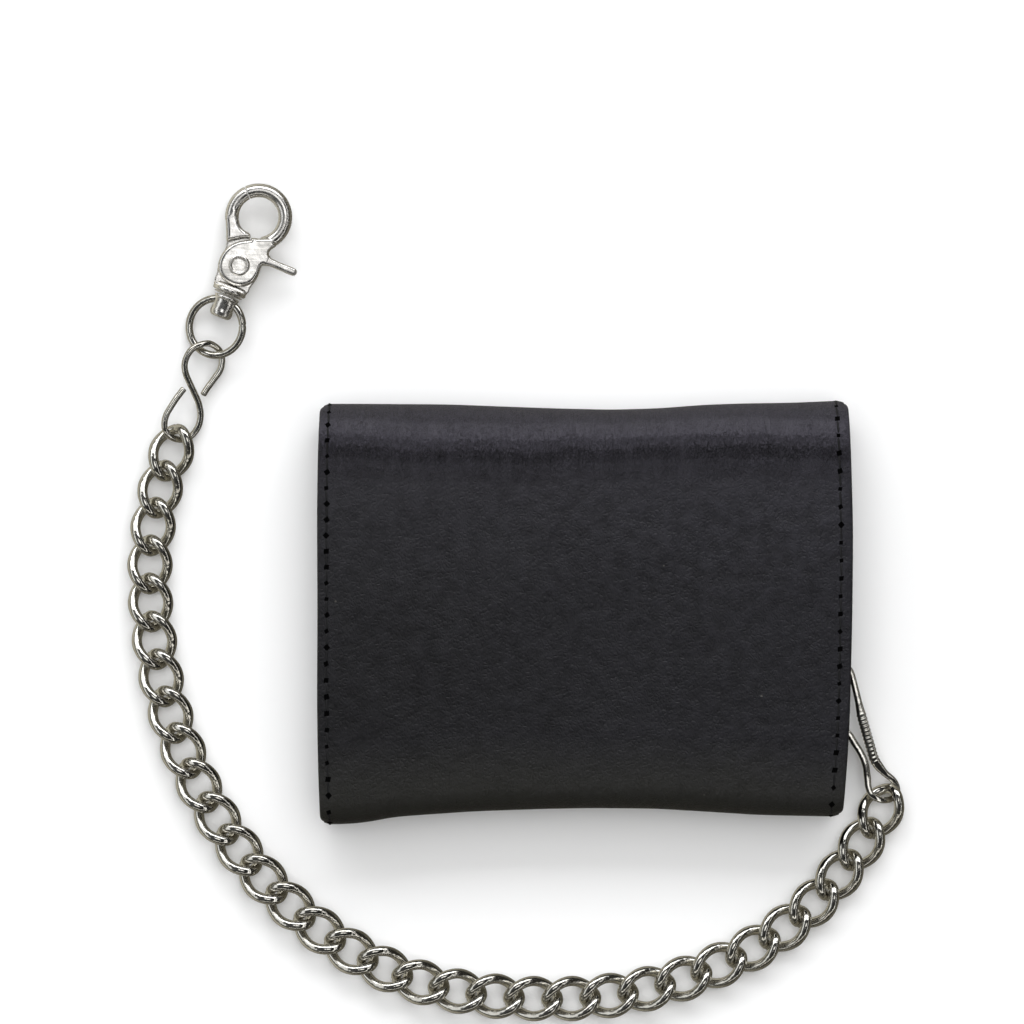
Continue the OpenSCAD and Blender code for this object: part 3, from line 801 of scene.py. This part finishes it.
link_points, link_radius = [], []
for k, t in enumerate(circle(LINK_STATIONS)):
    x, y = LINK_A * cos(t), LINK_B * sin(t)
    roll = -LINK_TWIST * x / LINK_A
    link_points.append((x, y * cos(roll), y * sin(roll)))
    seam = exp(-((k - SEAM_AT) / 0.55) ** 2)
    link_radius.append(LINK_R * (1 - 0.10 * seam))
model_link = wire("link_model", link_points, link_radius, CHAIN_MAT, True, 22)
for i, (h, (x, y)) in enumerate(zip(HEADING, PLACE)):
    name = f"link_{i + 1:02d}"
    piece = new_object(f"curb_{name}", model_link.data)
    piece.matrix_world = Matrix.Translation((x * MM, y * MM, CHAIN_Z * MM)) @ Matrix.Rotation(radians(h), 4, "Z")
    put(piece, name, "nickel_steel", name)
bpy.data.objects.remove(model_link)

# ---- S-shaped link
S_PATH = [(-77.8, 43.95, 1.85), (-76.85, 45.45, 1.6), (-75.65, 47.1, 1.4), (-74.4, 48.9, 1.25), (-73.95, 50.55, 1.2),
          (-74, 51.95, 1.25), (-74.7, 53.4, 1.6), (-76.4, 54.45, 2.6), (-78.25, 54.2, 3.6), (-79.9, 53.3, 4),
          (-81, 51.75, 4.05), (-81.45, 49.95, 3.85), (-81.15, 48.1, 3.5), (-80.3, 46.1, 3), (-79.45, 44.25, 2.55),
          (-78.75, 42.55, 2.1), (-78.35, 40.8, 1.7), (-78.35, 39.2, 1.35), (-78.8, 37.55, 1.05), (-79.9, 35.95, 0.9),
          (-81.3, 35, 1.1), (-82.8, 34.9, 1.8), (-84.25, 35.4, 2.8), (-85.25, 36.55, 3.6), (-85.55, 38.15, 4),
          (-85.15, 39.9, 4.1), (-84.25, 41.5, 4), (-83.25, 43.05, 3.8), (-82.3, 44.35, 3.6), (-81.55, 45.3, 3.5)]
s_line = spline(S_PATH, 7, False)
s_radius = np.full(len(s_line), 0.65)
s_radius[[0, -1]], s_radius[[1, -2]] = 0.5, 0.62
put(wire("s_hook_link", s_line, s_radius, CHAIN_MAT, False), "s_link", "nickel_steel", "s_link")

# ---- link in the wallet's tab
TAB_WIRE, TAB_STEPS = 0.7, 12
TAB_PATH = [(TAB_X, TAB_Y, TAB_Z), (TAB_X, TAB_Y + 4.6, TAB_Z), (TAB_X, TAB_Y + 5.5, TAB_Z),
            (TAB_X + 0.6, TAB_Y + 6.4, TAB_Z), (54.2, -12.2, TAB_Z), (55.35, -16, 2.9), (56.5, -21, 3),
            (57.4, -24.3, 3), (58.3, -27.4, 2.9), (59.35, -30.6, 2.6), (61.3, -33.1, 1.7), (63.2, -34.75, 0.95),
            (63.95, -36.6, 0.75), (63, -38.3, 1.45), (60.95, -38.65, 2.95),
            (58.9, -37.85, 3.9), (58, -36.2, 3.9), (57.75, -33.9, 3.6), (57.4, -31.4, 3.1), (56.5, -29.2, 2.9),
            (55.2, -27.1, 2.8), (54, -25.2, 2.8), (TAB_X + 0.5, TAB_Y - 6.4, TAB_Z), (TAB_X, TAB_Y - 5.5, TAB_Z),
            (TAB_X, TAB_Y - 4.6, TAB_Z)]
tab_line = spline(TAB_PATH, TAB_STEPS, True)
tab_flat = []
for i in range(len(tab_line)):
    part = i / TAB_STEPS
    # thinner in the first chain link and in the tab, and a flat ribbed strip between them
    slim = (0.05 * smooth(10, 11, part) * (1 - smooth(16, 17, part)) + 0.05 * (1 - smooth(4.5, 5.5, part))
            + 0.05 * smooth(20, 21, part))
    strip = smooth(5.4, 6.2, part) * (1 - smooth(9.3, 10.2, part))
    ribbed = smooth(5.9, 6.1, part) * (1 - smooth(9.0, 9.3, part))
    rib = ribbed * 0.10 * sin(i * pi / 1.5)
    tab_flat.append((TAB_WIRE - slim + 0.26 * strip + rib, TAB_WIRE - slim - 0.1 * strip + rib))
put(wire("tab_loop", tab_line, TAB_WIRE, CHAIN_MAT, True, 20, tab_flat), "tab_link", "nickel_steel", "tab_link")

# ---- the wallet's tab
STRAP_OUT, STRAP_IN = 1.6, 0.8


def tab_strap():
    """A strap folded round the bar: its section is a loop and a doubled tail, 10 mm long."""
    outer, hole = ([(TAB_X + r * cos(a), TAB_Z + r * sin(a)) for a in np.radians(np.linspace(-90, 172, 34))]
                   for r in (STRAP_OUT, STRAP_IN))
    outer.insert(0, (TAB_X - 8, TAB_Z - STRAP_OUT))
    outer += [(TAB_X - x, TAB_Z - STRAP_OUT + z) for x, z in ((2.6, 1.9), (3.2, 1.78), (8, 1.75))]
    hole += [(TAB_X - 1.2, TAB_Z - 0.2), (TAB_X - 1.0, TAB_Z - 0.6)]
    bm = bmesh.new()
    cols = np.linspace(TAB_Y - 5.1, TAB_Y + 5.1, 9)
    for ring, flip in ((outer, False), (hole, True)):
        rows = [[bm.verts.new((x * MM, y * MM, z * MM)) for x, z in ring] for y in cols]
        for r in range(len(cols) - 1):
            for k in range(len(ring)):
                k2 = (k + 1) % len(ring)
                q = (rows[r][k], rows[r][k2], rows[r + 1][k2], rows[r + 1][k])
                bm.faces.new(q if not flip else q[::-1])
        for row in (rows[0], rows[-1]):
            for k in range(len(row)):
                if bm.edges.get((row[k], row[(k + 1) % len(row)])) is None:
                    bm.edges.new((row[k], row[(k + 1) % len(row)]))
    for y in (cols[0], cols[-1]):
        rim = [e for e in bm.edges if all(abs(v.co.y - y * MM) < 1e-7 for v in e.verts)]
        bmesh.ops.triangle_fill(bm, edges=rim, use_beauty=True)
    bmesh.ops.recalc_face_normals(bm, faces=bm.faces)
    mesh = bpy.data.meshes.new("tab_strap")
    bm.to_mesh(mesh)
    bm.free()
    mesh.materials.append(TAB_MAT)
    obj = new_object("tab_strap", mesh)
    soften = obj.modifiers.new("edge", "BEVEL")
    soften.width = 0.12 * MM
    soften.segments = 2
    soften.limit_method = "ANGLE"
    return obj


put(tab_strap(), "front_flap", "black_leather", "chain_tab")
tab_bows = [[(TAB_X - 4.1, TAB_Y + 3 * k + t, TAB_Z - STRAP_OUT + 1.72 + 0.06 * (1 - t * t) - 0.05)
             for t in np.linspace(-1, 1, 7)] for k in range(-1, 2)]
v, f = thread_mesh(tab_bows, 0.22)
put(fix_normals(make("tab_thread", v, f, THREAD_MAT)), "front_flap", "thread", "tab_stitching")

# ---- clip
# The clip is drawn about its rivet, its hook ahead along Y, in millimetres.
CLIP = Matrix.Translation((-70.3 * MM, 70.4 * MM, 3.5 * MM)) @ Matrix.Rotation(radians(-21), 4, "Z")
HOOK = (0.15, 10.6)
HOOK_R, JAW_R = 5.45, 1.4
EYE_Y = -8.0


def layers_solid(layers):
    """A solid from closed rings of the same number of points, from the first to the last."""
    n = len(layers[0])
    verts = [p for layer in layers for p in layer]
    faces = tube_faces(len(layers), n)
    faces.append(list(range(n))[::-1])
    faces.append([(len(layers) - 1) * n + k for k in range(n)])
    return verts, faces


def plate(outline, z0, z1, low, high, steps=5):
    """A plate of that outline (anticlockwise) with its lower and upper rims rounded by low and high."""
    p = spline([(x, y, 0) for x, y in outline], steps, True)[:, :2]
    t = np.roll(p, -1, 0) - np.roll(p, 1, 0)
    t /= np.linalg.norm(t, axis=1)[:, None]
    out = np.c_[t[:, 1], -t[:, 0]]
    turn = np.radians([0, 25, 50, 70, 90])
    layers = [[(*q, z0 + low * (1 - cos(a))) for q in p - out * low * (1 - sin(a))] for a in turn]
    layers += [[(*q, z1 - high * (1 - cos(a))) for q in p - out * high * (1 - sin(a))] for a in turn[::-1]]
    return layers_solid(layers)


def hook_arc(a0, a1, sides=24):
    """The hook's round bar between two angles about the hook's centre."""
    layers = []
    for a in np.radians(np.linspace(a0, a1, max(8, int(abs(a1 - a0) / 4)))):
        ring = []
        for w in circle(sides):
            d = HOOK_R + JAW_R * cos(w)
            ring.append((HOOK[0] + d * cos(a), HOOK[1] + d * sin(a), JAW_R * sin(w)))
        layers.append(ring)
    return layers_solid(layers)


def round_y(profile, sides=40):
    """Turned about the clip's length: profile is (y, radius), closed at both ends."""
    return layers_solid([[(r * cos(w), y, r * sin(w)) for w in circle(sides)] for y, r in profile])


def rod(a, b, ra, rb, sides=20):
    """A tapered round bar with domed ends."""
    a, b = Vector(a), Vector(b)
    turn = (b - a).to_track_quat("Z", "Y")
    length = (b - a).length
    profile = ((-ra * 0.95, 0.3 * ra), (-ra * 0.7, 0.72 * ra), (0, ra),
               (length, rb), (length + rb * 0.7, 0.72 * rb), (length + rb * 0.95, 0.3 * rb))
    return layers_solid([[tuple(a + turn @ Vector((r * cos(w), r * sin(w), s))) for w in circle(sides)]
                         for s, r in profile])


def cast(name, parts, voxel, rounds, cut=None):
    """One casting: the parts fused, an optional hole cut, then softened as by tumbling.

    It's worked with one scene unit to the millimetre, so voxel is in millimetres, and scaled down at the end.
    """
    verts, faces = [], []
    for v, f in parts:
        off = len(verts)
        verts += [tuple(p) for p in v]
        faces += [[off + i for i in face] for face in f]
    obj = fix_normals(make(name, np.array(verts) * 1000, faces, CLIP_MAT))

    def fuse(step):
        remesh = obj.modifiers.new(step, "REMESH")
        remesh.mode = "VOXEL"
        remesh.voxel_size = voxel

    fuse("fuse")
    if cut is not None:
        tool = fix_normals(make(name + "_tool", np.array(cut[0]) * 1000, cut[1], CLIP_MAT))
        hole = obj.modifiers.new("hole", "BOOLEAN")
        hole.object = tool
        hole.solver = "EXACT"
        fuse("fuse_again")
    soft = obj.modifiers.new("soften", "SMOOTH")
    soft.factor = 0.5
    soft.iterations = rounds
    graph = bpy.context.evaluated_depsgraph_get()
    done = bpy.data.meshes.new_from_object(obj.evaluated_get(graph))
    obj.modifiers.clear()
    obj.data = done
    if cut is not None:
        bpy.data.objects.remove(tool)
    done.transform(Matrix.Scale(MM, 4))
    done.transform(CLIP)
    done.materials.clear()
    done.materials.append(CLIP_MAT)
    done.polygons.foreach_set("use_smooth", [True] * len(done.polygons))
    return obj


# moving piece: the disc, the web up to the hook's right arm, and the thumb lever
DISC_WEB = [(-4.2, -0.2), (-4.05, -1.5), (-3.4, -2.75), (-2.3, -3.65), (-0.8, -4.2), (0.8, -4.25), (2.3, -3.75),
            (3.5, -2.8), (4.15, -1.5), (4.35, -0.1), (4.3, 1.1), (4.6, 1.75), (5.4, 2.0), (5.4, 3.7),
            (4.85, 4.15), (4.75, 4.9), (5.2, 5.7), (5.6, 6.4), (4.4, 7.4), (3.2, 7.1), (2.0, 6.6), (1.0, 6.3),
            (0.35, 6.1), (0.3, 5.7), (-0.7, 5.2), (-1.9, 4.45), (-2.8, 3.6), (-3.6, 2.4), (-4.05, 1.1)]
LEVER = [(4.2, 1.85), (6.0, 2.0), (8.0, 1.95), (10.6, 1.85), (11.35, 2.15), (11.5, 2.75), (11.2, 3.3), (10.5, 3.45),
         (8.0, 3.5), (6.0, 3.6), (4.2, 3.9)]
jaw_parts = [plate(DISC_WEB, 0.06, 1.66, 0.25, 0.75), plate(LEVER, 0.1, 1.6, 0.3, 0.55),
             hook_arc(-62, 135.2), rod((3.6, 3.4, 0.8), (3.9, 6.1, 0.3), 0.8, 1.2),
             rod((3.2, 2.6, 0.8), (6.6, 2.85, 0.85), 0.85, 0.72)]
put(cast("snap_jaw", jaw_parts, 0.085, 16), "clip_jaw", "nickel_steel", "clip_jaw")

# fixed piece: the disc below, the neck to the swivel, and the left jaw on its flared foot
UNDER_DISC = [(-4.15, 0), (-4.0, -1.6), (-3.75, -3.0), (-3.1, -5.1), (3.0, -5.1), (3.7, -3.4), (4.2, -1.6), (4.3, 0),
              (3.9, 1.7), (2.9, 3.1), (1.6, 4.2), (0.1, 5.6), (-0.4, 6.5), (-2.4, 6.1), (-4.6, 5.0), (-4.15, 3.7),
              (-3.9, 2.0)]
FOOT = [(-4.15, 3.75), (-3.2, 4.3), (-2.0, 5.08), (-0.9, 5.72), (0.05, 6.0), (-0.15, 6.6), (-0.55, 6.85), (-1.6, 7.0),
        (-2.7, 7.6), (-3.45, 8.6), (-4.15, 9.6), (-4.95, 10.9), (-5.75, 9.7), (-6.15, 8.4), (-5.6, 7.0), (-4.85, 5.3)]
NECK = [(-3.1, -5.3), (3.0, -5.3), (3.05, -4.7), (2.2, -4.45), (0, -4.5), (-2.2, -4.45), (-3.15, -4.7)]
body_parts = [plate(UNDER_DISC, -1.66, -0.06, 0.5, 0.2), plate(FOOT, -1.5, 1.42, 0.8, 0.75),
              plate(NECK, -1.6, 1.5, 0.5, 0.6), hook_arc(136.5, 205),
              round_y([(-6.05, 2.9), (-6.05, 3.25), (-5.9, 3.45), (-5.55, 3.5), (-5.25, 3.4), (-5.12, 3.15),
                       (-5.1, 2.6)])]
put(cast("snap_body", body_parts, 0.085, 10), "clip_body", "nickel_steel", "clip_body")

# swivel: a washer, then the eye that holds the jump ring
washer = round_y([(-6.5, 2.4), (-6.48, 2.85), (-6.38, 2.98), (-6.27, 2.92), (-6.19, 2.7), (-6.17, 2.3)])
put(cast("snap_washer", [washer], 0.06, 3), "clip_eye", "nickel_steel", "clip_washer")
hole_verts, hole_faces = round_y([(-2.9, 1.95), (-2.3, 1.6), (-1.5, 1.2), (-0.6, 1.12), (0.6, 1.12), (1.5, 1.2),
                                  (2.3, 1.6), (2.9, 1.95)], 32)
eye_hole = ([(y, EYE_Y + x, z) for x, y, z in hole_verts], hole_faces)
eye_parts = [round_y([(-11.35, 1.2), (-11.3, 1.8), (-10.95, 2.2), (-10.3, 2.35), (-9.9, 2.32), (-9.7, 2.28),
                      (-8.4, 2.45), (-7.5, 2.75), (-7.35, 2.95), (-7.0, 2.95), (-6.86, 2.75), (-6.84, 2.3)])]
put(cast("snap_eye", eye_parts, 0.09, 4, eye_hole), "clip_eye", "nickel_steel", "clip_eye")


def lathe(name, profile, material, sides=56):
    """Turned about the rivet; profile is (radius, height) from the axis at the top, round to the axis below."""
    verts, faces = [], []
    n = len(profile)
    for w in circle(sides):
        verts += [(r * cos(w), r * sin(w), h) for r, h in profile]
    for k in range(sides):
        a, b = k * n, ((k + 1) % sides) * n
        for i in range(n - 1):
            faces.append((a + i, b + i, b + i + 1, a + i + 1))
    obj = make(name, verts, faces, material)
    bm = bmesh.new()
    bm.from_mesh(obj.data)
    bmesh.ops.remove_doubles(bm, verts=bm.verts, dist=1e-7)
    bmesh.ops.dissolve_degenerate(bm, dist=1e-8, edges=bm.edges)
    bm.to_mesh(obj.data)
    bm.free()
    fix_normals(obj)
    obj.data.transform(CLIP)
    return obj


rivet_profile = [(0.0, 1.5), (0.6, 1.45), (0.95, 1.28), (1.12, 1.18), (1.26, 1.3), (1.36, 1.62), (1.5, 1.95),
                 (1.68, 2.12), (1.88, 2.12), (2.08, 1.95), (2.2, 1.7), (2.17, 1.68), (1.1, 1.67), (1.1, -1.67),
                 (1.95, -1.68), (1.92, -1.9), (1.7, -2.1), (0.9, -2.15), (0.0, -2.15)]
put(lathe("snap_rivet", rivet_profile, CLIP_MAT), "clip_body", "nickel_steel", "clip_rivet")
SPRING_R, SPRING_TURN, SPRING_H = 1.75, 3 * pi, 0.7
spring = [(SPRING_R * cos(a), SPRING_R * sin(a), (a / SPRING_TURN - 0.5) * SPRING_H)
          for a in np.linspace(0, SPRING_TURN, 60)]
coil = wire("snap_spring", spring, 0.2, SPRING_MAT, False, 10)
coil.data.transform(CLIP)
put(coil, "clip_body", "spring_steel", "clip_spring")

# ---- jump ring
RING_R, RING_WIRE, RING_STATIONS, SPLIT_AT = 5.8, 0.75, 120, 8
RING_DIP, RING_ROLL, RING_BELOW_EYE = radians(6), radians(-17), 5.45
ring_points = [(RING_R * cos(a), RING_R * sin(a), 0) for a in circle(RING_STATIONS)]
ring_radius = [RING_WIRE * (1 - 0.14 * exp(-((k - SPLIT_AT) / 0.5) ** 2)) for k in range(RING_STATIONS)]
ring = wire("split_jump_ring", ring_points, ring_radius, CHAIN_MAT, True, 20)
ring_place = (Matrix.Translation((0, EYE_Y * MM, 0)) @ Matrix.Rotation(RING_DIP, 4, "X")
              @ Matrix.Translation((0, -RING_BELOW_EYE * MM, 0)) @ Matrix.Rotation(RING_ROLL, 4, "Y"))
ring.data.transform(CLIP @ ring_place)
put(ring, "jump_ring", "nickel_steel", "jump_ring")


# ---- floor, light and camera
def floor_material():
    material, tree, shader = nodes_of("pale_floor", 0.75, specular=0.1)
    grain = noise(tree, mapped(tree, (1, 1, 1), "Object"), 400, 3)
    paint(tree, shader, mix_colour(tree, times(tree, grain, 0.15), (0.93, 0.93, 0.93), (0.90, 0.90, 0.90)))
    return material


FLOOR_HALF, FLOOR_Z = 3000, -0.26
floor = make("floor", [(x * FLOOR_HALF, y * FLOOR_HALF, 0) for x, y in ((-1, -1), (1, -1), (1, 1), (-1, 1))],
             [(0, 1, 2, 3)], floor_material())
floor.location.z = FLOOR_Z * MM
floor.visible_glossy = False

world = bpy.data.worlds.new("soft_room")
bpy.context.scene.world = world
world.use_nodes = True
wt = world.node_tree
direction = add(wt, "ShaderNodeTexCoord").outputs["Generated"]


def along(axis):
    node = add(wt, "ShaderNodeVectorMath", operation="DOT_PRODUCT")
    wt.links.new(direction, node.inputs[0])
    node.inputs[1].default_value = tuple(Vector(axis).normalized())
    return node.outputs["Value"]


def step_node(value, lo, hi):
    node = add(wt, "ShaderNodeMapRange", interpolation_type="SMOOTHSTEP")
    wt.links.new(value, node.inputs["Value"])
    node.inputs["From Min"].default_value = lo
    node.inputs["From Max"].default_value = hi
    return node.outputs["Result"]


def panel(axis, across, half_across, half_up, colour, strength, edge=0.03):
    """A rectangular softbox seen in that direction; its sizes are sines of angles."""
    axis = Vector(axis).normalized()
    u = (Vector(across) - axis * axis.dot(Vector(across))).normalized()
    v = axis.cross(u)
    masks = [step_node(along(axis), 0.2, 0.3)]
    for d, half in ((u, half_across), (v, half_up)):
        size = math_node(wt, "ABSOLUTE", along(d))
        masks.append(minus(wt, 1, step_node(size, half - edge, half + edge)))
    mask = times(wt, times(wt, masks[0], masks[1]), masks[2])
    return mix_colour(wt, mask, (0, 0, 0), tuple(c * strength for c in colour))


height = along((0, 0, 1))
sky = ramp(wt, math_node(wt, "MULTIPLY_ADD", height, 0.5, 0.5),
           [(0.0, (0.20, 0.185, 0.145)), (0.42, (0.34, 0.32, 0.26)), (0.5, (0.24, 0.225, 0.185)),
            (0.58, (0.09, 0.085, 0.07)), (0.8, (0.035, 0.034, 0.03)), (1.0, (0.05, 0.05, 0.05))])
sideways = step_node(along((-1, 0.35, 0)), -0.55, 0.75)
sky = mix_colour(wt, 1.0, sky, mix_colour(wt, sideways, (0.55, 0.55, 0.55), (1.9, 1.95, 2.05)), "MULTIPLY")
lamps = [panel((0.10, 0.12, 1), (1, 0, 0), 0.20, 0.17, (1, 1, 1), 1.7, 0.09),
         panel((0.0, 0.85, 0.60), (1, 0, 0), 0.62, 0.19, (0.97, 0.98, 1.0), 3.4),
         panel((-0.82, 0.1, 0.60), (0, 1, 0), 0.5, 0.17, (0.96, 0.98, 1.0), 1.1),
         panel((0.72, -0.15, 0.68), (0, 1, 0), 0.55, 0.05, (1, 1, 1), 1.7),
         panel((0.1, -0.8, 0.58), (1, 0, 0), 0.6, 0.06, (1, 0.98, 0.93), 1.3)]
for lamp in lamps:
    sky = mix_colour(wt, 1.0, sky, lamp, "ADD")
wt.links.new(sky, wt.nodes["Background"].inputs["Color"])


def softbox(name, place, target, size, power):
    """A large soft light that gives the shadows; polished metal shows the room's panels instead."""
    data = bpy.data.lights.new(name, "AREA")
    data.shape = "RECTANGLE"
    data.size, data.size_y = size
    data.energy = power
    obj = new_object(name, data)
    obj.location = place
    obj.rotation_euler = (Vector(target) - Vector(place)).to_track_quat("-Z", "Y").to_euler()
    obj.visible_glossy = False


softbox("overhead", (0.05, 0.15, 1.3), (0, 0, 0), (1.8, 1.8), 14)
softbox("back", (0.1, 1.1, 0.8), (0, 0, 0), (1.2, 0.6), 4.5)

# a long lens straight above; FIELD is the width seen, in metres, 10 mm above the ground
LENS, SENSOR, FIELD = 260, 36, 0.2079
camera_data = bpy.data.cameras.new("camera")
camera_data.lens = LENS
camera_data.sensor_width = SENSOR
camera_data.clip_end = 20
camera = new_object("camera", camera_data)
camera.location = (-0.0147, 0.0201, LENS / SENSOR * FIELD + 0.010)
camera.rotation_euler = (0, 0, 0)
bpy.context.scene.camera = camera
bpy.context.scene.view_settings.view_transform = "Standard"
